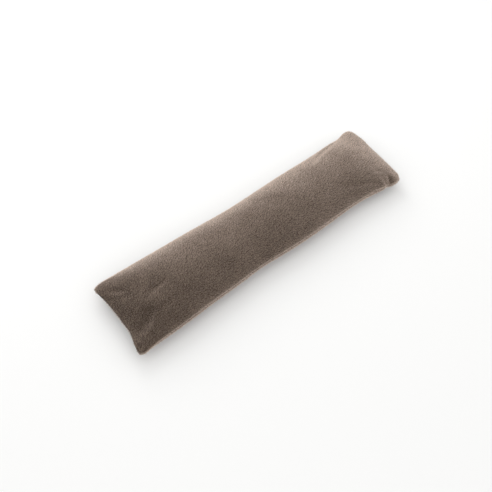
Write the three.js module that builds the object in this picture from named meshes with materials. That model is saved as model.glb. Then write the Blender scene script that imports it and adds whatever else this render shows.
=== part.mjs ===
// Draught excluder: a long filled cushion of short plush, lying on its back.
//
// Millimetres, +Z up. The cushion lies along X with its far, right end at +X, its near
// long side at -Y, and the floor at Z = 0. The origin is under the middle of its box.
//
// Two rectangular panels are sewn right round in one knife-edge seam. Both panels are
// sheets over the same (u, v) grid: u runs from -1 to 1 along the cushion, v from -1 to
// 1 across it, and the seam is where |u| or |v| is 1.
import * as THREE from 'three';

// The seam's plan
const LENGTH = 788;            // end seam to end seam, corner to corner
const WIDTH = 211;             // side seam to side seam at the corners, before rounding
const SIDE_DRAW_IN = 11.4;     // how far the filling pulls each long side in
const EAR_REACH = 140;         // length over which a long side is drawn in from an end
const END_DRAW_IN = { left: 12.5, right: -2.5 }; // middle of each end; minus swells out
const END_DRAW_POWER = 3;      // 3 keeps the pull of an end near its middle
const CORNER_BLUNT = 7.5;      // what a turned corner loses along each of its two sides
const CORNER_REACH = 26;       // how far from its tip a corner is blunted

// The seam's height, and the panels' bulge above and below it
const SEAM_HEIGHT = 34;        // over the floor
const EAR_DROOP = 3;           // how far the ear tips hang below that
const DROOP_REACH = 120;
const CROWN_RISE = 38;         // top panel over the seam
const BELLY_DROP = 40;         // bottom panel under it; past SEAM_HEIGHT it lies flat
const END_SLOPE = 115;         // length over which an end climbs to the crown
const END_POWER = { left: 1.6, right: 2.2 };  // roundness of that climb
const END_ROOT = { left: 0.92, right: 0.6 };  // how upright it starts, 1 for a slant
const SIDE_POWER = 2.3;        // roundness of the cross section, 2 for an ellipse
const SECTION_ROOT = 0.56;     // 0.5 meets the seam upright, 1 meets it on a slant
const EDGE_SHARE = 0.5;        // lumps and valleys fade out where the cushion is less full

// Long sides swell and draw in a little where the filling has settled.
// x and reach place each wave along the cushion; near and far are its size at each side.
const SIDE_WAVES = [
  { x: -275, reach: 80, near: 5.5, far: 1.5 },
  { x: -45, reach: 60, near: -4.5, far: -1 },
  { x: 10, reach: 110, near: -1, far: -5 },
  { x: 260, reach: 110, near: -7, far: -3 },
  { x: 391, reach: 9, near: 0, far: 4.5 },
];

// So do the ends: end is -1 for the left one, y and reach place each wave along the end.
const END_WAVES = [
  { end: -1, y: -84, reach: 26, swell: 3.5 },
  { end: -1, y: -42, reach: 16, swell: -1.5 },
  { end: 1, y: 55, reach: 26, swell: 4 },
];

// Soft hollows and swells of the crown, as round mounds: a height below 0 is a hollow.
const CROWN_LUMPS = [
  { x: -315, y: 5, reachX: 28, reachY: 45, height: -4 },
  { x: -215, y: 10, reachX: 70, reachY: 60, height: 2.5 },
  { x: -20, y: 30, reachX: 42, reachY: 70, height: -3.5 },
  { x: 105, y: -5, reachX: 75, reachY: 60, height: 1.5 },
  { x: 240, y: -35, reachX: 40, reachY: 60, height: -2.5 },
];

// Soft valleys run in from the ears, each along a straight line from start to stop in
// plan. A depth below 0 makes a ridge.
const VALLEYS = [
  { start: [-390, -78], stop: [-280, -28], depth: 9, width: 13 },
  { start: [-386, -52], stop: [-376, -90], depth: -2, width: 6 },
  { start: [-388, 92], stop: [-315, 15], depth: 6, width: 11 },
  { start: [384, 92], stop: [330, 48], depth: 2, width: 11 },
];
const VALLEY_FULL = { from: 0.3, to: 0.5 }; // the shares of its line where it is at full depth
const VALLEY_WIDENING = 0.6;   // from its start to its stop

// The near ear of the right end is tucked in. A short, steep pleat runs in from the side
// seam, which it notches, and the crown swells beside it and leans out over it.
const TUCK = { start: [352, -110], stop: [374, -60], depth: 18, width: 6.5, notch: 3.5 };
const TUCK_FADE = { from: 0.15, to: 0.9 }; // shares of its line between full depth and none
const TUCK_BULGE = { beside: -17, height: 2.5, width: 15, overhang: 7 };
const NOTCH_BAND = { from: 0.5, to: 0.9 }; // share of the half width where the notch builds up

// Beside the seam each panel swells past it in a lip, so that the seam lies in a groove.
const LIP = { top: { reach: 9, size: 2.5 }, bottom: { reach: 13, size: 5 } };
const GROOVE_SHARE = 0.2;      // of a lip's reach, where it falls back to the seam

const MIN_THICKNESS = 2.4;     // of the two plush panels where they are pressed together
const PRESS_MARGIN = 6;        // inside the seam, over which that thickness builds up

// The grid: STEPS_U cells along and STEPS_V across, closer together at the seam.
const STEPS_U = 84;
const STEPS_V = 30;
const CROWDING = { u: 0.35, v: 0.6 };

const bell = (distance, width) => Math.exp(-((distance / width) ** 2));
const crowded = (step, share) => step * (1 - share) + Math.sin(step * Math.PI / 2) * share;
const ramp = (value, from, to) => {
  const t = Math.min(Math.max((value - from) / (to - from), 0), 1);
  return t * t * (3 - 2 * t);
};

// How far along a line from start to stop a place is, as a share of it, and how far to
// the right of it.
function beside({ start, stop }, x, y) {
  const run = [stop[0] - start[0], stop[1] - start[1]];
  const off = [x - start[0], y - start[1]];
  const length = Math.hypot(run[0], run[1]);
  return {
    share: (off[0] * run[0] + off[1] * run[1]) / length ** 2,
    off: (off[0] * run[1] - off[1] * run[0]) / length,
  };
}

// Where a grid point lies on the flat of the panel: its plan and its distances in from
// the nearest end seam and the nearest side seam.
function planOf(u, v) {
  const fromEnd = (1 - Math.abs(u)) * LENGTH / 2;
  const fromSide = (1 - Math.abs(v)) * WIDTH / 2;
  const end = u < 0 ? END_DRAW_IN.left : END_DRAW_IN.right;
  let x = u * LENGTH / 2;
  x -= Math.sign(u) * end * (1 - Math.abs(v) ** END_DRAW_POWER) * u ** 4;
  for (const wave of END_WAVES) {
    if (wave.end === Math.sign(u)) {
      x += wave.end * wave.swell * bell(v * WIDTH / 2 - wave.y, wave.reach) * u ** 4;
    }
  }

  const drawn = 1 - Math.exp(-((2 * fromEnd / EAR_REACH) ** 1.5));
  let half = WIDTH / 2 - SIDE_DRAW_IN * drawn;
  for (const wave of SIDE_WAVES) half += (v < 0 ? wave.near : wave.far) * bell(x - wave.x, wave.reach);
  half -= TUCK.notch * bell(x - TUCK.start[0], TUCK.width) * ramp(-v, NOTCH_BAND.from, NOTCH_BAND.to);
  let y = v * half;

  const blunt = CORNER_BLUNT * Math.max(0, 1 - (fromEnd + fromSide) / CORNER_REACH) ** 2;
  x -= Math.sign(u) * blunt;
  y -= Math.sign(v) * blunt;
  return { x, y, fromEnd, fromSide };
}

// What the valleys and the tuck take from the top panel's height or add to it, and how
// far they lean the panel out over the pleat.
function creases(x, y) {
  let height = 0;
  for (const valley of VALLEYS) {
    const { share, off } = beside(valley, x, y);
    const fade = ramp(share, 0, VALLEY_FULL.from) * (1 - ramp(share, VALLEY_FULL.to, 1));
    height -= valley.depth * fade * bell(off, valley.width * (1 + VALLEY_WIDENING * share));
  }
  const { share, off } = beside(TUCK, x, y);
  const fade = 1 - ramp(share, TUCK_FADE.from, TUCK_FADE.to);
  height -= TUCK.depth * fade * bell(off, TUCK.width);
  height += TUCK_BULGE.height * fade * bell(off - TUCK_BULGE.beside, TUCK_BULGE.width);
  return { height, lean: TUCK_BULGE.overhang * fade * bell(off + TUCK.width, TUCK.width) };
}

// Both panels at a grid point, as the places [x, y, z] of the top and the bottom one.
// They meet where it is on the seam.
function panelsAt(u, v) {
  const { x, y, fromEnd, fromSide } = planOf(u, v);
  const droop = EAR_DROOP * Math.max(0, 1 - (fromEnd + fromSide) / DROOP_REACH);
  const seam = SEAM_HEIGHT - droop;
  const climb = Math.min(fromEnd / END_SLOPE, 1);
  const side = u < 0 ? 'left' : 'right';
  const overEnd = (1 - (1 - climb) ** END_POWER[side]) ** END_ROOT[side];
  const overSide = (1 - Math.abs(v) ** SIDE_POWER) ** SECTION_ROOT;
  const fullness = overEnd * overSide;

  let lumps = 0;
  for (const lump of CROWN_LUMPS) {
    lumps += lump.height * bell(x - lump.x, lump.reachX) * bell(y - lump.y, lump.reachY);
  }
  const pressed = MIN_THICKNESS / 2 * ramp(Math.min(fromEnd, fromSide), 0, PRESS_MARGIN);
  const inside = Math.min(1, fullness / EDGE_SHARE);
  const folds = creases(x, y);
  const rise = Math.max(CROWN_RISE * fullness + (lumps * overSide + folds.height) * inside, pressed);
  const drop = Math.max(BELLY_DROP * fullness, pressed);

  const placed = (lip, height, lean) => {
    const off = Math.hypot(Math.min(fromEnd, fromSide), height);
    const out = lip.size * (bell(off, lip.reach) - bell(off, lip.reach * GROOVE_SHARE));
    return [
      x + Math.sign(u) * out * bell(fromEnd, lip.reach) + lean,
      y + Math.sign(v) * out * bell(fromSide, lip.reach),
      Math.max(seam + height, 0),
    ];
  };
  return [placed(LIP.top, rise, folds.lean * inside), placed(LIP.bottom, -drop, 0)];
}

// Both panels as one closed surface. They share the ring of points on the seam.
function cushionGeometry() {
  const points = [];
  const topRows = [];
  const bottomRows = [];
  for (let i = 0; i <= STEPS_U; i++) {
    const topRow = [];
    const bottomRow = [];
    for (let j = 0; j <= STEPS_V; j++) {
      const u = crowded(2 * i / STEPS_U - 1, CROWDING.u);
      const v = crowded(2 * j / STEPS_V - 1, CROWDING.v);
      const [top, bottom] = panelsAt(u, v);
      const onSeam = i === 0 || i === STEPS_U || j === 0 || j === STEPS_V;
      topRow.push(points.push(top) - 1);
      bottomRow.push(onSeam ? topRow[j] : points.push(bottom) - 1);
    }
    topRows.push(topRow);
    bottomRows.push(bottomRow);
  }

  // Each cell is split along the diagonal that points at its nearest corner, which
  // keeps both triangles of a corner cell off the seam's straight lines.
  const triangles = [];
  const addCell = (rows, i, j, flipped) => {
    const [a, b, c, d] = [rows[i][j], rows[i + 1][j], rows[i + 1][j + 1], rows[i][j + 1]];
    const risingDiagonal = (i < STEPS_U / 2) === (j < STEPS_V / 2);
    const pair = risingDiagonal ? [[a, b, c], [a, c, d]] : [[a, b, d], [b, c, d]];
    for (const [p, q, r] of pair) triangles.push(...(flipped ? [p, r, q] : [p, q, r]));
  };
  for (let i = 0; i < STEPS_U; i++) {
    for (let j = 0; j < STEPS_V; j++) {
      addCell(topRows, i, j, false);
      addCell(bottomRows, i, j, true);
    }
  }

  const geometry = new THREE.BufferGeometry();
  geometry.setAttribute('position', new THREE.Float32BufferAttribute(points.flat(), 3));
  geometry.setIndex(triangles);
  geometry.computeBoundingBox();
  const box = geometry.boundingBox;
  geometry.translate(-(box.min.x + box.max.x) / 2, -(box.min.y + box.max.y) / 2, -box.min.z);
  geometry.computeVertexNormals();
  return geometry;
}

const plush = new THREE.MeshStandardMaterial({ color: 0x6e5f53, roughness: 0.95, metalness: 0 });
const cushion = new THREE.Mesh(cushionGeometry(), plush);
cushion.name = 'cushion';

const group = new THREE.Group();
group.add(cushion);
export default group;
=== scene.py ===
# %% [markdown]
# # A draught excluder in short plush
#
# The real thing is a long cushion that lies along the foot of a door. Two rectangles of
# taupe plush are sewn right round, turned and filled. This lesson builds its cloth, lets
# a filling swell it, and then grows the pile out of it, tuft by tuft.
#
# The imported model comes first. It fixes the size and the place of everything below.

import math

import bpy
import numpy as np
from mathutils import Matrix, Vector


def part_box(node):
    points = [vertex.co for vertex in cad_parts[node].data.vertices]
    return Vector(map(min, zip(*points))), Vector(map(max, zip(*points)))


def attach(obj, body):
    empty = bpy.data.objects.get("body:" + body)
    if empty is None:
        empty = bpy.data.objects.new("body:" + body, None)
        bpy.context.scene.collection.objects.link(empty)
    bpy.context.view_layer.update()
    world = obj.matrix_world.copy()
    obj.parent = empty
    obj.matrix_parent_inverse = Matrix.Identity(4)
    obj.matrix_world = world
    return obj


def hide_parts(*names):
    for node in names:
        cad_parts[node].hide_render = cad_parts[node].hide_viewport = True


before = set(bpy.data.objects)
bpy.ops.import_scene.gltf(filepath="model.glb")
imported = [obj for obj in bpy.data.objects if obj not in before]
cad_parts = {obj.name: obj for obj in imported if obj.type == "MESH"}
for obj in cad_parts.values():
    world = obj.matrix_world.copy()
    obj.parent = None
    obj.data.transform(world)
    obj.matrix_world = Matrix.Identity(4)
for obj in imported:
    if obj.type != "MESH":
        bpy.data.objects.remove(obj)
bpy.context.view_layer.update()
MM = 0.001
LOW, HIGH = (np.array(corner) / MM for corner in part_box("cushion"))
print("the cushion's box, mm:", LOW.round(1), HIGH.round(1))

# %% [markdown]
# ## The seam's plan
#
# A knife-edge cushion is drawn in along its sides and ends, because the filling takes up
# cloth there, and its corners stay out as four ears. So the plan isn't a rectangle: it is
# worked out from how far each side is drawn in, plus a few waves where the filling has
# settled. Both panels are sheets over the same grid. u runs from -1 to 1 along the
# cushion and v from -1 to 1 across it, and the seam is where either reaches its end.

# %% Sizes of the plan, in millimetres
LENGTH = 788.0
WIDTH = 211.0
SIDE_DRAW_IN = 11.4
EAR_REACH = 140.0
END_DRAW_IN = {"left": 12.5, "right": -2.5}
END_DRAW_POWER = 3
SIDE_DRAW_POWER = 1.5  # how quickly a side is drawn in from its ears
END_FADE = 4  # the ends' own forms fade with this power of u towards the middle
CORNER_BLUNT, CORNER_REACH = 7.5, 26.0
# x and reach along the cushion, and the swell of its near and its far side
SIDE_WAVES = (
    (-275, 80, 5.5, 1.5),
    (-45, 60, -4.5, -1.0),
    (10, 110, -1.0, -5.0),
    (260, 110, -7.0, -3.0),
    (345, 20, 0.0, -4.5),
    (391, 9, 0.0, 3.0),
    (-378, 15, 2.0, -1.2),
)
# the same for the ends: left is -1 and right 1, then y, reach and swell
END_WAVES = (
    (-1, -84, 26, 3.5),
    (-1, -42, 16, -1.5),
    (1, 55, 26, 4.0),
    (1, -94, 12, 1.5),
    (1, 95, 20, 3.0),
    (-1, 55, 50, 1.6),
    (-1, 85, 25, 0.8),
)
PILE = 4.8  # how far the pile and the lip stand out from the seam
# The near ear of the right end is tucked in by a pleat that runs in from the side seam.
TUCK = {"start": (346, -110), "stop": (368, -60), "depth": 18.0, "width": 6.5, "notch": 3.5}
NOTCH_FROM = (0.5, 0.9)  # the shares of the half width where the notch starts and is full
TUCK_BULGE = {"beside": -17, "height": 2.5, "width": 15, "overhang": 7.0}


def bell(distance, width):
    """A smooth bump of height 1 at distance 0 that fades over the width."""
    return np.exp(-((distance / width) ** 2))


def ramp(value, start, stop):
    """0 before start, 1 after stop, and a smooth rise between them."""
    t = np.clip((value - start) / (stop - start), 0, 1)
    return t * t * (3 - 2 * t)


def plan(u, v, inset):
    """The place of grid points seen from above, and how far in from the seams they are.

    x is u times half the length, less what the end is drawn in, which is most at the
    middle of the end, and what that end waves. y is v times a half width that shrinks
    away from the ends and waves a little, with a notch where the ear is tucked. The
    inset leaves room for the pile.
    """
    from_end = (1 - abs(u)) * LENGTH / 2
    from_side = (1 - abs(v)) * WIDTH / 2
    drawn = np.where(u < 0, END_DRAW_IN["left"], END_DRAW_IN["right"])
    fade = u**END_FADE
    x = u * (LENGTH / 2 - inset) - np.sign(u) * drawn * (1 - abs(v) ** END_DRAW_POWER) * fade
    for end, middle, reach, swell in END_WAVES:
        here = np.where(np.sign(u) == end, end * swell, 0)
        x = x + here * bell(v * WIDTH / 2 - middle, reach) * fade
    half = WIDTH / 2 - inset
    half = half - SIDE_DRAW_IN * (1 - np.exp(-((2 * from_end / EAR_REACH) ** SIDE_DRAW_POWER)))
    for middle, reach, near, far in SIDE_WAVES:
        half = half + np.where(v < 0, near, far) * bell(x - middle, reach)
    notch = TUCK["notch"] * bell(x - TUCK["start"][0], TUCK["width"])
    half = half - notch * ramp(-v, *NOTCH_FROM)
    blunt = CORNER_BLUNT * np.clip(1 - (from_end + from_side) / CORNER_REACH, 0, 1) ** 2
    return x - np.sign(u) * blunt, v * half - np.sign(v) * blunt, from_end, from_side


# %% [markdown]
# ## The crown and the belly
#
# Over the seam the top panel climbs to its crown: quickly from the sides, and over about
# the cushion's half width from the ends. Soft valleys run in from the ears, where the
# cloth has more width than the filling takes up. The near ear of the right end is tucked:
# a steep little pleat parts it from the crown, which leans over it. The underside lies
# flat on the floor. Along the seam each panel swells past the stitches in a small lip, so
# that the seam itself lies in a groove.

# %% Sizes of the section, in millimetres
SEAM_HEIGHT = 34.0
EAR_DROOP, DROOP_REACH = 3.0, 120.0
CROWN_RISE, BELLY_DROP = 38.0, 40.0
END_SLOPE = 115.0
# how round each end's climb is, and how upright it starts: 0.5 is upright, 1 is a slant
END_POWER, END_ROOT = {"left": 1.6, "right": 2.2}, {"left": 0.92, "right": 0.6}
SIDE_POWER, SECTION_ROOT = 2.3, 0.56
# x, y, reach along, reach across and height of each soft mound; below 0 it is a hollow
CROWN_LUMPS = (
    (-315, 5, 28, 45, -4.0),
    (-215, 10, 70, 60, 2.5),
    (-20, 30, 42, 70, -3.5),
    (105, -5, 75, 60, 1.5),
    (240, -35, 40, 60, -2.5),
)
# where each ear's valley starts and stops, its depth and its width; below 0 it is a ridge
VALLEYS = (
    ((-390, -78), (-280, -28), 9.0, 13),
    ((-386, -52), (-376, -90), -2.0, 6),
    ((-388, 92), (-315, 15), 6.0, 11),
    ((384, 92), (330, 48), 2.0, 11),
)
# shares of a valley's line: it has its full depth at the first and fades after the second
VALLEY_FULL, VALLEY_WIDENS = (0.3, 0.5), 0.6
PLEAT_FADES = (0.15, 0.9)  # the same for the pleat, which starts at its full depth
FOLDS_FULL = 0.5  # the share of the fullness from which the folds have all their depth
LIP, LIP_REACH = {"top": 2.5, "bottom": 5.0}, {"top": 9.0, "bottom": 13.0}
GROOVE = 5  # the lip's reach is this many times that of the seam's groove
PARTED, PARTED_REACH = 0.5, 6.0  # how far each panel is from the seam's level, at the least
FLOOR_GAP = 1.0  # pile pressed flat under the cushion


def beside(x, y, start, stop):
    """How far along a line points are, as a share of it, and how far to its right."""
    run_x, run_y = stop[0] - start[0], stop[1] - start[1]
    run = math.hypot(run_x, run_y)
    off_x, off_y = x - start[0], y - start[1]
    return (off_x * run_x + off_y * run_y) / run**2, (off_x * run_y - off_y * run_x) / run


def creases(x, y):
    """What the valleys and the tucked ear's pleat do to the height, and the lean over it."""
    height = 0 * x
    for start, stop, depth, width in VALLEYS:
        share, off = beside(x, y, start, stop)
        fade = ramp(share, 0, VALLEY_FULL[0]) * (1 - ramp(share, VALLEY_FULL[1], 1))
        height = height - depth * fade * bell(off, width * (1 + VALLEY_WIDENS * share))
    share, off = beside(x, y, TUCK["start"], TUCK["stop"])
    fade = 1 - ramp(share, *PLEAT_FADES)
    pleat = TUCK["depth"] * bell(off, TUCK["width"])
    bulge = TUCK_BULGE["height"] * bell(off - TUCK_BULGE["beside"], TUCK_BULGE["width"])
    lean = TUCK_BULGE["overhang"] * bell(off + TUCK["width"], TUCK["width"])
    return height + (bulge - pleat) * fade, lean * fade


def section(u, v, inset, slack):
    """Both panels at grid points, as (top, bottom), each an array of x, y and z.

    The fullness of the filling is one power curve from the end seams times another
    from the side seams. The top is the seam's height plus the rise times that, and the
    bottom is the same below the seam, cut off level at the floor. slack is left out of
    both, for the filling to take up. The crown's bulge leans over the tucked ear.
    """
    x, y, from_end, from_side = plan(u, v, inset)
    seam = SEAM_HEIGHT - EAR_DROOP * np.clip(1 - (from_end + from_side) / DROOP_REACH, 0, 1)
    power, root = (np.where(u < 0, end["left"], end["right"]) for end in (END_POWER, END_ROOT))
    over_end = (1 - (1 - np.clip(from_end / END_SLOPE, 0, 1)) ** power) ** root
    over_side = (1 - abs(v) ** SIDE_POWER) ** SECTION_ROOT
    fullness = over_end * over_side
    lumps = sum(
        high * bell(x - mid, reach) * bell(y - off, across)
        for mid, off, reach, across, high in CROWN_LUMPS
    )
    parted = PARTED * ramp(np.minimum(from_end, from_side), 0, PARTED_REACH)
    inside = np.minimum(1, fullness / FOLDS_FULL)
    folds, lean = creases(x, y)
    relief = (lumps * over_side + folds) * inside
    rise = np.maximum((CROWN_RISE - inset - slack) * fullness + relief, parted)
    drop = np.maximum((BELLY_DROP - inset - slack) * fullness, parted)

    panels = []
    for face, height, over in (("top", rise, lean * inside), ("bottom", -drop, 0)):
        reach = LIP_REACH[face]
        off = np.hypot(np.minimum(from_end, from_side), height)
        lip = LIP[face] * (bell(off, reach) - bell(off, reach / GROOVE))
        out_x = np.sign(u) * lip * bell(from_end, reach) + over
        out_y = np.sign(v) * lip * bell(from_side, reach)
        z = np.maximum(seam + height, FLOOR_GAP)
        panels.append(np.stack([x + out_x, y + out_y, z], -1))
    return panels


def lengths_along(line):
    """How far each point of a line is from its start."""
    steps = np.linalg.norm(np.diff(line, axis=0), axis=1)
    return np.concatenate([[0], np.cumsum(steps)])


# extra rows by each seam, in millimetres from it, and where the even rows start
BY_SEAM, FIRST_ROW = np.array([0, 1.0, 2.2, 3.7]), 5.5
FINE_STEPS = 4001


def even_steps(count, along_cushion):
    """Places from -1 to 1 an even length of cloth apart, with three more by each seam.

    They are read off a fine line over the middle of the top panel, along the cushion
    or across it.
    """
    fine = np.sin(np.linspace(-1, 1, FINE_STEPS) * math.pi / 2)
    middle = 0 * fine
    line = section(fine, middle, 0, 0)[0] if along_cushion else section(middle, fine, 0, 0)[0]
    lengths = lengths_along(line)
    rows = np.linspace(FIRST_ROW, lengths[-1] - FIRST_ROW, count)
    wanted = np.concatenate([BY_SEAM, rows, lengths[-1] - BY_SEAM[::-1]])
    return np.interp(wanted, lengths, fine)


# %% [markdown]
# ## The cloth as one closed mesh
#
# The two sheets share the ring of points on the seam, so the cover is one closed skin. It
# is made a little slack, because the filling will swell it.

# %% Weave the two panels into one mesh
SLACK = 1.5
CELLS_LONG, CELLS_WIDE = 180, 48

mid_x, mid_y = (LOW[:2] + HIGH[:2]) / 2


def centred(points, outline):
    """Moves points so that the outline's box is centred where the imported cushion's is."""
    middle = (outline.reshape(-1, 3).min(0) + outline.reshape(-1, 3).max(0)) / 2
    return points + np.array([mid_x - middle[0], mid_y - middle[1], 0])


U, V = np.meshgrid(even_steps(CELLS_LONG, True), even_steps(CELLS_WIDE, False), indexing="ij")
ROWS, COLUMNS = U.shape
tips = section(U, V, 0, 0)[0]
TOP, BOTTOM = (centred(panel, tips) for panel in section(U, V, PILE, SLACK))


def mesh_object(name, points, faces):
    """A smooth mesh object from arrays, points in millimetres."""
    mesh = bpy.data.meshes.new(name)
    mesh.vertices.add(len(points))
    mesh.vertices.foreach_set("co", (np.asarray(points) * MM).astype(np.float32).ravel())
    corners = faces.shape[1]
    mesh.loops.add(faces.size)
    mesh.loops.foreach_set("vertex_index", faces.astype(np.int32).ravel())
    mesh.polygons.add(len(faces))
    mesh.polygons.foreach_set("loop_start", np.arange(0, faces.size, corners, dtype=np.int32))
    mesh.update(calc_edges=True)
    mesh.validate()
    mesh.shade_smooth()
    piece = bpy.data.objects.new(name, mesh)
    bpy.context.scene.collection.objects.link(piece)
    return piece


top_index = np.arange(ROWS * COLUMNS).reshape(ROWS, COLUMNS)
bottom_index = top_index.copy()
inner = (slice(1, -1), slice(1, -1))
bottom_index[inner] = top_index.size + np.arange(bottom_index[inner].size).reshape(
    bottom_index[inner].shape
)
seam_ring = np.unique(
    np.concatenate([top_index[0], top_index[-1], top_index[:, 0], top_index[:, -1]])
)


def cells(index):
    """The four corners of every cell of a grid of point numbers, counter-clockwise."""
    return np.stack(
        [index[:-1, :-1], index[1:, :-1], index[1:, 1:], index[:-1, 1:]], -1
    ).reshape(-1, 4)


def as_skin(top, bottom):
    """The points of both panels in the mesh's order, with the seam's from the top one."""
    return np.concatenate([top.reshape(-1, 3), bottom[inner].reshape(-1, 3)])


skin_points = as_skin(TOP, BOTTOM)
skin_faces = np.concatenate([cells(top_index), cells(bottom_index)[:, ::-1]])
cover = mesh_object("cover_cloth", skin_points, skin_faces)
print("cover:", len(skin_points), "points,", len(skin_faces), "faces")

# %% [markdown]
# ## Filling it
#
# Loose filling pushes every bit of cloth outwards. Blender's cloth does that with its
# pressure setting and no gravity. Two things make it behave like sewn cloth. The seam is
# pinned where it lies, because stitches hardly give. And the cloth is told its real rest
# shape, two flat rectangles, by a shape key, so where the seam has drawn in it has cloth
# to spare and falls into soft pulls. The shape is already nearly right, so twenty frames
# are enough, and a cap on how far a point may move keeps the size.

# %% Swell the cover with Blender's cloth
FLAT_LENGTH, FLAT_WIDTH = 796.0, 217.0
PRESSURE = 4.0
FRAMES = 20
CAP = 6.0
PARTING = 1.0  # how far over and under the seam's level the two flat panels lie
STEPS_A_FRAME, POINT_MASS = 5, 0.3
STIFFNESS = {"tension": 40, "compression": 40, "shear": 20, "bending": 2.5}


def laid_flat(panel, height):
    """A panel as it is cut: every point at its share of the flat length and width."""
    flat = []
    for axis, size in ((0, FLAT_LENGTH), (1, FLAT_WIDTH)):
        steps = np.linalg.norm(np.diff(panel, axis=axis), axis=-1)
        run = np.insert(np.cumsum(steps, axis), 0, 0, axis)
        flat.append((run / run.take([-1], axis) - 0.5) * size)
    return np.stack([*flat, 0 * flat[0] + height], -1)


def swollen(piece):
    """The piece's points after the cloth has run, in millimetres."""
    piece.shape_key_add(name="sewn")
    rest = piece.shape_key_add(name="laid flat")
    flat_points = as_skin(laid_flat(TOP, SEAM_HEIGHT + PARTING), laid_flat(BOTTOM, SEAM_HEIGHT - PARTING))
    rest.data.foreach_set("co", (flat_points * MM).astype(np.float32).ravel())
    stitches = piece.vertex_groups.new(name="seam")
    stitches.add(seam_ring.tolist(), 1.0, "REPLACE")

    cloth = piece.modifiers.new("filling", "CLOTH")
    cloth.settings.quality = STEPS_A_FRAME
    cloth.settings.mass = POINT_MASS
    for kind, stiffness in STIFFNESS.items():
        setattr(cloth.settings, kind + "_stiffness", stiffness)
    cloth.settings.rest_shape_key = rest
    cloth.settings.vertex_group_mass = stitches.name
    cloth.settings.use_pressure = True
    cloth.settings.uniform_pressure_force = PRESSURE
    cloth.settings.effector_weights.gravity = 0
    cloth.point_cache.frame_start = 1
    cloth.point_cache.frame_end = FRAMES
    for number in range(1, FRAMES + 1):
        bpy.context.scene.frame_set(number)
    evaluated = piece.evaluated_get(bpy.context.evaluated_depsgraph_get())
    found = np.empty(len(evaluated.data.vertices) * 3, np.float32)
    evaluated.data.vertices.foreach_get("co", found)
    piece.modifiers.remove(cloth)
    piece.shape_key_clear()
    piece.vertex_groups.clear()
    bpy.context.scene.frame_set(1)
    return found.reshape(-1, 3).astype(float) / MM


moved = swollen(cover) - skin_points
far = np.linalg.norm(moved, axis=1, keepdims=True)
print("the filling moved the cloth by up to", far.max().round(1), "mm")
moved *= np.tanh(far / CAP) * CAP / np.maximum(far, 1e-9)
on_floor = skin_points[:, 2] <= FLOOR_GAP
skin_points = skin_points + moved
skin_points[:, 2] = np.maximum(skin_points[:, 2], FLOOR_GAP)
skin_points[on_floor, 2] = FLOOR_GAP
cover.data.vertices.foreach_set("co", (skin_points * MM).astype(np.float32).ravel())
cover.data.update()

TOP = skin_points[top_index]
BOTTOM = skin_points[bottom_index]
print("filled cloth, mm:", skin_points.min(0).round(1), skin_points.max(0).round(1))

# %% [markdown]
# ## The pile
#
# Plush is a knitted cloth with a dense pile of short fibres. Hair particles would draw it,
# but they are lost when the model leaves Blender. So the pile is real geometry: a few
# hundred thousand slim closed spikes of four faces each, every one a tuft of fibres. They
# stand in even, jittered rows over both panels. All of a panel's tufts lean with its nap,
# and neighbours lean together into little clumps, as brushed plush does.

# %% Read any place on a panel
PILE_SEED = 20
rng = np.random.default_rng(PILE_SEED)
# how far rows are staggered, and how far along and across a tuft may stray, in spacings
STAGGER, STRAY_LONG, STRAY_WIDE = 0.45, (0.05, 0.5), (0.1, 0.9)


def across_grid(grid, i, j):
    """The value of a grid at fractional row i and column j, between its four nearest."""
    i0 = np.clip(i.astype(int), 0, grid.shape[0] - 2)
    j0 = np.clip(j.astype(int), 0, grid.shape[1] - 2)
    a, b = (i - i0)[..., None], (j - j0)[..., None]
    near = grid[i0, j0] * (1 - b) + grid[i0, j0 + 1] * b
    return near * (1 - a) + (grid[i0 + 1, j0] * (1 - b) + grid[i0 + 1, j0 + 1] * b) * a


def unit(vectors):
    """The same directions with length 1."""
    return vectors / np.maximum(np.linalg.norm(vectors, axis=-1, keepdims=True), 1e-9)


def rows_on(panel, spacing, start, stop):
    """Jittered rows of places on a panel between two shares of its length.

    Rows and columns are evenly spaced along the cloth, by the lengths of the panel's
    middle lines. Returns fractional rows and columns of the panel's grid, the same
    places as millimetres on the flat cloth, and how far each is from the seam.
    """
    along = lengths_along(panel[:, COLUMNS // 2])
    across = lengths_along(panel[ROWS // 2])
    first, last = start * along[-1], stop * along[-1]
    count_x = max(2, round((last - first) / spacing))
    count_y = max(2, round(across[-1] / spacing))
    x, y = np.meshgrid(np.arange(count_x), np.arange(count_y), indexing="ij")
    x = x + STAGGER * (y % 2) + rng.uniform(*STRAY_LONG, x.shape)
    y = y + rng.uniform(*STRAY_WIDE, y.shape)
    x = first + x.ravel() * (last - first) / count_x
    y = y.ravel() * across[-1] / count_y
    i = np.interp(x, along, np.arange(len(along)))
    j = np.interp(y, across, np.arange(len(across)))
    from_seam = np.minimum(np.minimum(x, along[-1] - x), np.minimum(y, across[-1] - y))
    return i, j, np.stack([x, y], 1), from_seam


# %% [markdown]
# A tuft's lean comes from three things. The nap is the same all over a panel, a slow
# drift turns it a little from place to place, where hands have brushed it, and clumps
# pull the tips of neighbours together.

# %% The lean of the pile
TUFT_LENGTH = 4.6
NAP_LEAN = 0.55
CLUMP = 4.4
CLUMP_PULL = 0.26
STRAY = 0.26  # how far single tufts stray from their neighbours' lean
SOFT = 0.55  # how much of its shading normal a tuft takes from the cloth under it
CAUGHT, CAUGHT_REACH = 0.65, 2.5  # the share of a tuft that stitches hold down, and to where
TIP_PULL = 2  # a tip moves this many times as far as its tuft's middle
UNEVEN_LENGTH, UNEVEN_RADIUS = (0.82, 1.12), (0.85, 1.15)
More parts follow.
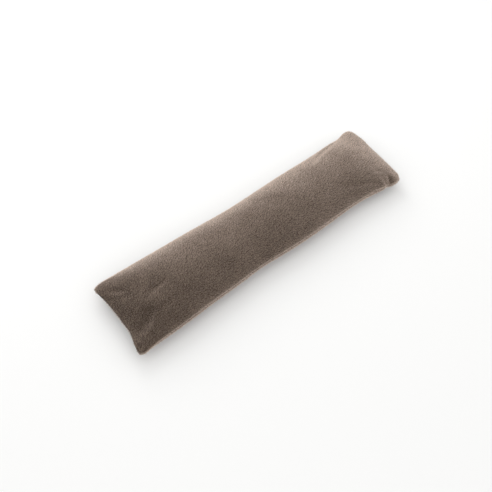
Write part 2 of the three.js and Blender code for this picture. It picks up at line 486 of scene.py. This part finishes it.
# slow drifts, each with its strength and the millimetres from wave to wave
WIDE_TURN, FINE_TURN, LEAN_DRIFT = (0.25, 160), (0.2, 60), (0.15, 110)
DRIFT_WAVES, SELDOM_OVER = 5, 3  # five sines seldom add up to more than three
STRETCH_LEAST, STRETCH_BY = 0.6, 0.16  # how the sines differ in wavelength
MIX = (73856093, 19349663, 83492791)  # large odd numbers that scatter a cell's numbers


def drift(places, strength, scale, seed):
    """A slow wave over the cloth: the strength times a few sines in mixed directions."""
    wave = np.random.default_rng(seed)
    total = 0
    for _ in range(DRIFT_WAVES):
        drawn = wave.uniform(0, 2 * math.pi, 3)
        turn, phase, stretch = drawn * (1, 1, STRETCH_BY) + (0, 0, STRETCH_LEAST)
        way = np.array([math.cos(turn), math.sin(turn)]) * stretch * 2 * math.pi / scale
        total = total + np.sin(places @ way + phase)
    return strength * (total / SELDOM_OVER)


def clump_of(places, seed):
    """From each place towards its clump's middle, and a number of its own for the clump.

    Clumps are the cells of a square grid with jittered middles. The nearest of the
    nine cells around a place is its own. The number lies between -1 and 1.
    """
    cell = np.floor(places / CLUMP).astype(int)
    best = np.full(len(places), np.inf)
    pull = np.zeros_like(places)
    mood = np.zeros(len(places))
    for dx in (-1, 0, 1):
        for dy in (-1, 0, 1):
            near = cell + (dx, dy)
            mixed = near[:, 0] * MIX[0] ^ near[:, 1] * MIX[1] ^ seed * MIX[2]
            # what is left after dividing by a prime near 1000 serves as a random share
            jitter = np.stack([(mixed >> 3) % 1009, (mixed >> 13) % 1013], 1) / 1011.0
            way = (near + jitter) * CLUMP - places
            gap = np.linalg.norm(way, axis=1)
            closer = gap < best
            best = np.where(closer, gap, best)
            pull = np.where(closer[:, None], way, pull)
            mood = np.where(closer, (mixed >> 7) % 997 / 498 - 1, mood)
    return pull, mood


# %% Spikes from arrays
SPIKE = np.array([[0, 1, 3], [1, 2, 3], [2, 0, 3], [0, 2, 1]])
NET_RADIUS, NET_MIDDLE = 0.27, (0.5, 0.44)  # of an unfolded spike, as shares of its cell
TUFT_RADIUS = 0.62


def spikes(roots, tips, radius):
    """Closed three-sided spikes, as points and faces.

    A ring of three points stands around each root, square to the spike, and the fourth
    point is its tip.
    """
    way = unit(tips - roots)
    side = unit(np.cross(way, rng.normal(size=way.shape)))
    other = np.cross(way, side)
    turns = np.arange(3) * 2 * math.pi / 3
    ring = side[:, None] * np.cos(turns)[:, None] + other[:, None] * np.sin(turns)[:, None]
    points = np.concatenate([roots[:, None] + ring * radius[:, None, None], tips[:, None]], 1)
    faces = np.arange(len(roots))[:, None, None] * 4 + SPIKE
    return points.reshape(-1, 3), faces.reshape(-1, 3)


def net_map(count):
    """Places on a square map for the faces of spikes, so that no two faces overlap.

    Each spike has a cell of a square grid. There it is unfolded: its root in the
    middle, and its three sides around that.
    """
    columns = math.ceil(math.sqrt(count))
    number = np.arange(count)
    cell = np.stack([number % columns, number // columns], 1)
    turns = math.pi / 2 + np.arange(3) * 2 * math.pi / 3
    ring = np.stack([np.cos(turns), np.sin(turns)], 1) * NET_RADIUS
    outer = -2 * ring
    net = np.stack(
        [
            np.stack([ring[0], ring[1], outer[2]]),
            np.stack([ring[1], ring[2], outer[0]]),
            np.stack([ring[2], ring[0], outer[1]]),
            np.stack([ring[0], ring[2], ring[1]]),
        ]
    )
    return ((cell[:, None, None] + np.array(NET_MIDDLE) + net) / columns).reshape(-1, 2)


# %% [markdown]
# No tuft has quite its neighbour's tone: each varies a little, and so does each clump. By
# the seam the tufts get a painted shade, as if the stitches shaded them, and the tufts of
# each lip beyond get a painted highlight for the pale sides they would show.

# %% Uneven tufts, with painted shade and highlight by the seam
TUFT_MOOD, CLUMP_MOOD = 0.07, 0.11
# painted shade in the seam's groove, and a painted highlight on the lips beside it
PAINTED_SEAM_SHADE, PAINTED_RIM_HIGHLIGHT = 0.65, 0.25
SHADE_REACH, RIM_REACH, RIM_AT = 1.6, 1.8, 3.5  # in millimetres, from the seam


# %% [markdown]
# A spike's own normals would make each tuft glitter like a cut stone. So every corner gets
# a normal between the spike's own and that of the cloth under it, in the attribute that
# Blender reads custom normals from.

# %% Grow the pile of one stretch of a panel
ROOTED, ROOT_FLOOR = 0.4, 0.7  # how deep the roots stand in the cloth, and their least height
PRESSED, PRESSED_SPREAD = 0.15, 0.5  # how high tips lie where the floor presses them down


def grow(name, panel, outwards, spacing, start, stop, seed):
    """The pile of a panel between two shares of its length, as one mesh piece.

    A tip is its root plus the tuft's length along the cloth's normal, tilted by the nap,
    its drift, the tuft's own stray and the pull of its clump.
    """
    i, j, places, from_seam = rows_on(panel, spacing, start, stop)
    along = unit(np.gradient(panel, axis=0))
    across = unit(np.gradient(panel, axis=1))
    up = unit(np.cross(along, across)) * outwards
    roots = across_grid(panel, i, j)
    normal = unit(across_grid(up, i, j))
    nap_x = unit(across_grid(along, i, j))
    nap_y = np.cross(normal, nap_x)

    turn = drift(places, *WIDE_TURN, seed) + drift(places, *FINE_TURN, seed + 1)
    lean = NAP_LEAN * (1 + drift(places, *LEAN_DRIFT, seed + 2))
    pull, mood = clump_of(places, seed)
    pull = pull * CLUMP_PULL / TUFT_LENGTH * TIP_PULL
    lean_x = lean * np.cos(turn) + rng.normal(0, STRAY, len(roots)) + pull[:, 0]
    lean_y = lean * np.sin(turn) + rng.normal(0, STRAY, len(roots)) + pull[:, 1]
    way = unit(normal + nap_x * lean_x[:, None] + nap_y * lean_y[:, None])
    caught = 1 - CAUGHT * (1 - ramp(from_seam, 0, CAUGHT_REACH))
    length = TUFT_LENGTH * caught * rng.uniform(*UNEVEN_LENGTH, len(roots))
    tips = roots + way * length[:, None]
    tips[:, 2] = np.maximum(tips[:, 2], PRESSED + rng.uniform(0, PRESSED_SPREAD, len(roots)))
    roots = roots - normal * ROOTED
    roots[:, 2] = np.maximum(roots[:, 2], ROOT_FLOOR)

    radius = TUFT_RADIUS * spacing * rng.uniform(*UNEVEN_RADIUS, len(roots))
    points, faces = spikes(roots, tips, radius)
    points[:, 2] = np.maximum(points[:, 2], 0.0)
    piece = mesh_object(name, points, faces)
    own = unit(points - np.repeat(roots, 4, 0))
    soft = unit(np.repeat(normal, 4, 0) * SOFT + own * (1 - SOFT))
    layer = piece.data.attributes.new("custom_normal", "FLOAT_VECTOR", "POINT")
    layer.data.foreach_set("vector", soft.astype(np.float32).ravel())

    height = np.tile([0, 0, 0, 1], len(roots)).astype(np.float32)
    tone_and_seam_shading = rng.normal(0, TUFT_MOOD, len(roots)) + CLUMP_MOOD * mood
    # painted highlight on each lip beside the seam, and painted shade in its groove
    tone_and_seam_shading += PAINTED_RIM_HIGHLIGHT * bell(from_seam - RIM_AT, RIM_REACH)
    tone_and_seam_shading -= PAINTED_SEAM_SHADE * bell(from_seam, SHADE_REACH)
    tone_and_seam_shading = np.repeat(tone_and_seam_shading, 4).astype(np.float32)
    for label, values in (("height", height), ("tone_and_seam_shading", tone_and_seam_shading)):
        layer = piece.data.attributes.new(label, "FLOAT", "POINT")
        layer.data.foreach_set("value", values)
    chart = piece.data.uv_layers.new(name="OFBake")
    chart.uv.foreach_set("vector", net_map(len(roots)).astype(np.float32).ravel())
    print(name, len(roots), "tufts,", len(faces), "faces")
    return piece


TOP_SPACING, BELLY_SPACING = 1.07, 1.32
TOP_SEED, BELLY_SEED = 11, 12
pile = [
    grow("pile_top_left", TOP, 1, TOP_SPACING, 0, 1 / 3, TOP_SEED),
    grow("pile_top_middle", TOP, 1, TOP_SPACING, 1 / 3, 2 / 3, TOP_SEED),
    grow("pile_top_right", TOP, 1, TOP_SPACING, 2 / 3, 1, TOP_SEED),
    grow("pile_under_left", BOTTOM, -1, BELLY_SPACING, 0, 1 / 2, BELLY_SEED),
    grow("pile_under_right", BOTTOM, -1, BELLY_SPACING, 1 / 2, 1, BELLY_SEED),
]

# %% [markdown]
# ## Plush as a material
#
# Polyester plush has no gloss of its own. A fibre seen from its side is pale and bright,
# and the gaps between fibres are dark. So the colour runs from a dark root, painted shade
# of the deep pile, to a pale tip. A Layer Weight node tells how far a surface turns away
# from the eye, and a curve over it paints a sheen there, a painted highlight that makes the
# pile paler, as velvet looks. The shader's own sheen adds a little to that.


# %% Helpers for colours and nodes
def linear(code):
    """An sRGB hex colour as the linear colour that a shader wants."""
    srgb = np.array([int(code[k : k + 2], 16) for k in (1, 3, 5)]) / 255
    low = srgb / 12.92
    high = ((srgb + 0.055) / 1.055) ** 2.4
    return (*np.where(srgb <= 0.04045, low, high).tolist(), 1.0)


def add(tree, kind, links=(), **settings):
    """A node of that kind. Settings are its properties, or its sockets by name.

    links are pairs of a socket's name or number and the output that feeds it.
    """
    node = tree.nodes.new(kind)
    for label, value in settings.items():
        if hasattr(node, label):
            setattr(node, label, value)
        else:
            node.inputs[label.replace("_", " ")].default_value = value
    for socket, feed in links:
        tree.links.new(feed, node.inputs[socket])
    return node


def new_material(name):
    """A material with an empty tree and its output, as (material, tree, output)."""
    material = bpy.data.materials.new(name)
    material.use_nodes = True
    material.node_tree.nodes.clear()
    output = material.node_tree.nodes.new("ShaderNodeOutputMaterial")
    return material, material.node_tree, output


# %% The pile's material
# the root colour is dark as painted shade, deep in the pile where fibres shade each other
ROOT_SHADE_COLOUR = "#493F37"
TIP_COLOUR = "#A99687"
# painted sheen: how much paler the pile's colour is made where it is seen along the
# cloth, in red, green and blue
PAINTED_SHEEN_GAIN = (2.36, 2.48, 2.66)
PAINTED_SHEEN_POWER, PAINTED_SHEEN_FULL = 1.5, 0.375


def plush_pile():
    """Taupe polyester pile: painted shade at dark roots, pale tips, painted sheen, uneven by tuft."""
    material, tree, output = new_material("taupe_plush_pile")
    height = add(tree, "ShaderNodeAttribute", attribute_name="height")
    tone_and_seam_shading = add(tree, "ShaderNodeAttribute", attribute_name="tone_and_seam_shading")
    blend = add(
        tree, "ShaderNodeMix", [(0, height.outputs["Fac"])], data_type="RGBA",
    )
    blend.inputs[6].default_value = linear(ROOT_SHADE_COLOUR)
    blend.inputs[7].default_value = linear(TIP_COLOUR)
    level = add(tree, "ShaderNodeMath", [(0, tone_and_seam_shading.outputs["Fac"])], operation="ADD")
    level.inputs[1].default_value = 1.0
    # a painted sheen: the colour is made paler where the cloth turns away from the eye
    aside = add(tree, "ShaderNodeLayerWeight", Blend=0.5)
    curve = add(tree, "ShaderNodeMath", [(0, aside.outputs["Facing"])], operation="POWER")
    curve.inputs[1].default_value = PAINTED_SHEEN_POWER
    amount = add(
        tree, "ShaderNodeMapRange", [("Value", curve.outputs[0])],
        From_Min=0.0, From_Max=PAINTED_SHEEN_FULL, To_Min=0.0, To_Max=1.0,
    )
    painted_sheen = add(tree, "ShaderNodeMix", [(0, amount.outputs[0])], data_type="RGBA")
    painted_sheen.inputs[6].default_value = (1.0, 1.0, 1.0, 1.0)
    painted_sheen.inputs[7].default_value = (*PAINTED_SHEEN_GAIN, 1.0)
    paler = add(
        tree, "ShaderNodeVectorMath",
        [(0, blend.outputs[2]), (1, painted_sheen.outputs[2])], operation="MULTIPLY",
    )
    colour = add(
        tree, "ShaderNodeVectorMath",
        [(0, paler.outputs[0]), (3, level.outputs[0])], operation="SCALE",
    )
    shader = add(
        tree, "ShaderNodeBsdfPrincipled", [("Base Color", colour.outputs[0])],
        Roughness=0.9, IOR=1.45, Specular_IOR_Level=0.15,
        Sheen_Weight=0.5, Sheen_Roughness=0.4, Sheen_Tint=linear("#F2E9DF"),
    )
    tree.links.new(shader.outputs[0], output.inputs[0])
    return material


def plush_ground():
    """The knitted ground that the pile stands in: darker, with 420 grains to the metre."""
    material, tree, output = new_material("taupe_knitted_ground")
    where = add(tree, "ShaderNodeTexCoord")
    grain = add(
        tree, "ShaderNodeTexNoise", [("Vector", where.outputs["Object"])],
        Scale=420.0, Detail=2.0, Roughness=0.6,
    )
    colour = add(tree, "ShaderNodeMix", [(0, grain.outputs["Fac"])], data_type="RGBA")
    colour.inputs[6].default_value = linear("#2E2721")
    colour.inputs[7].default_value = linear("#4A4038")
    bump = add(
        tree, "ShaderNodeBump", [("Height", grain.outputs["Fac"])],
        Strength=0.5, Distance=0.001,
    )
    shader = add(
        tree, "ShaderNodeBsdfPrincipled",
        [("Base Color", colour.outputs[2]), ("Normal", bump.outputs[0])],
        Roughness=0.95, Specular_IOR_Level=0.1, Sheen_Weight=0.4, Sheen_Roughness=0.4,
    )
    tree.links.new(shader.outputs[0], output.inputs[0])
    return material


cover.data.materials.append(plush_ground())
pile_material = plush_pile()
for piece in pile:
    piece.data.materials.append(pile_material)

# %% [markdown]
# ## Joining it to the frame
#
# The cloth is the padded piece that stands for the imported solid. Everything rides on the
# one body.

for piece in [cover, *pile]:
    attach(piece, "root")
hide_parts("cushion")

# %% [markdown]
# ## A white table, a soft window and the camera
#
# One broad soft light stands behind the cushion and a little to its right, and an even
# white world fills the shadows. The camera looks down over the near left corner. Light,
# colours and camera were matched to one photograph, so other views are less certain.

# %% The floor and the light
FLOOR_REACH = 4000  # millimetres from the middle to each side
floor = mesh_object(
    "floor",
    np.array([[-1, -1, 0], [1, -1, 0], [1, 1, 0], [-1, 1, 0]]) * FLOOR_REACH,
    np.array([[0, 1, 2, 3]]),
)
paper, tree, output = new_material("white_paper")
shader = add(tree, "ShaderNodeBsdfPrincipled", Base_Color=linear("#F7F7F6"), Roughness=0.9)
tree.links.new(shader.outputs[0], output.inputs[0])
floor.data.materials.append(paper)


def soft_light(name, azimuth, elevation, distance, size, power, colour="#FFFFFF"):
    """A square soft box that shines on the cushion. Azimuth 0 is behind it, 90 its right."""
    lamp = bpy.data.lights.new(name, "AREA")
    lamp.shape = "SQUARE"
    lamp.size = size
    lamp.energy = power
    lamp.color = linear(colour)[:3]
    holder = bpy.data.objects.new(name, lamp)
    turn, rise = math.radians(azimuth), math.radians(elevation)
    place = Vector(
        (math.sin(turn) * math.cos(rise), math.cos(turn) * math.cos(rise), math.sin(rise))
    )
    holder.location = place * distance
    holder.rotation_euler = place.to_track_quat("Z", "Y").to_euler()
    bpy.context.scene.collection.objects.link(holder)


soft_light("window", azimuth=14, elevation=35, distance=1.6, size=1.0, power=6.6)

WORLD_STRENGTH = 0.97

world = bpy.data.worlds.new("studio")
world.use_nodes = True
world.node_tree.nodes["Background"].inputs[0].default_value = linear("#FFFFFF")
world.node_tree.nodes["Background"].inputs[1].default_value = WORLD_STRENGTH
bpy.context.scene.world = world
bpy.context.scene.view_settings.view_transform = "Standard"

# %% The camera
CAMERA_AZIMUTH, CAMERA_ELEVATION = -38.64, 57.86
CAMERA_DISTANCE = 1.5855
FOCAL_LENGTH = 47.56  # on a sensor 36 mm wide
CLIP_END = 50  # metres, past everything in the scene
AIM = Vector((-0.0343, -0.0036, 0.0))
CAMERA_FOOT = Vector((-0.005, 0.0, 0.0))


def look_from(azimuth, elevation, distance, aim):
    """The photograph's camera: its eye on a sphere about the cushion, turned to its aim."""
    turn, rise = math.radians(azimuth), math.radians(elevation)
    back = Vector(
        (math.sin(turn) * math.cos(rise), -math.cos(turn) * math.cos(rise), math.sin(rise))
    )
    camera = bpy.data.objects.new("camera", bpy.data.cameras.new("camera"))
    camera.location = CAMERA_FOOT + back * distance
    camera.rotation_euler = (camera.location - aim).to_track_quat("Z", "Y").to_euler()
    camera.data.lens = FOCAL_LENGTH
    camera.data.clip_end = CLIP_END
    bpy.context.scene.collection.objects.link(camera)
    bpy.context.scene.camera = camera


look_from(CAMERA_AZIMUTH, CAMERA_ELEVATION, CAMERA_DISTANCE, AIM)
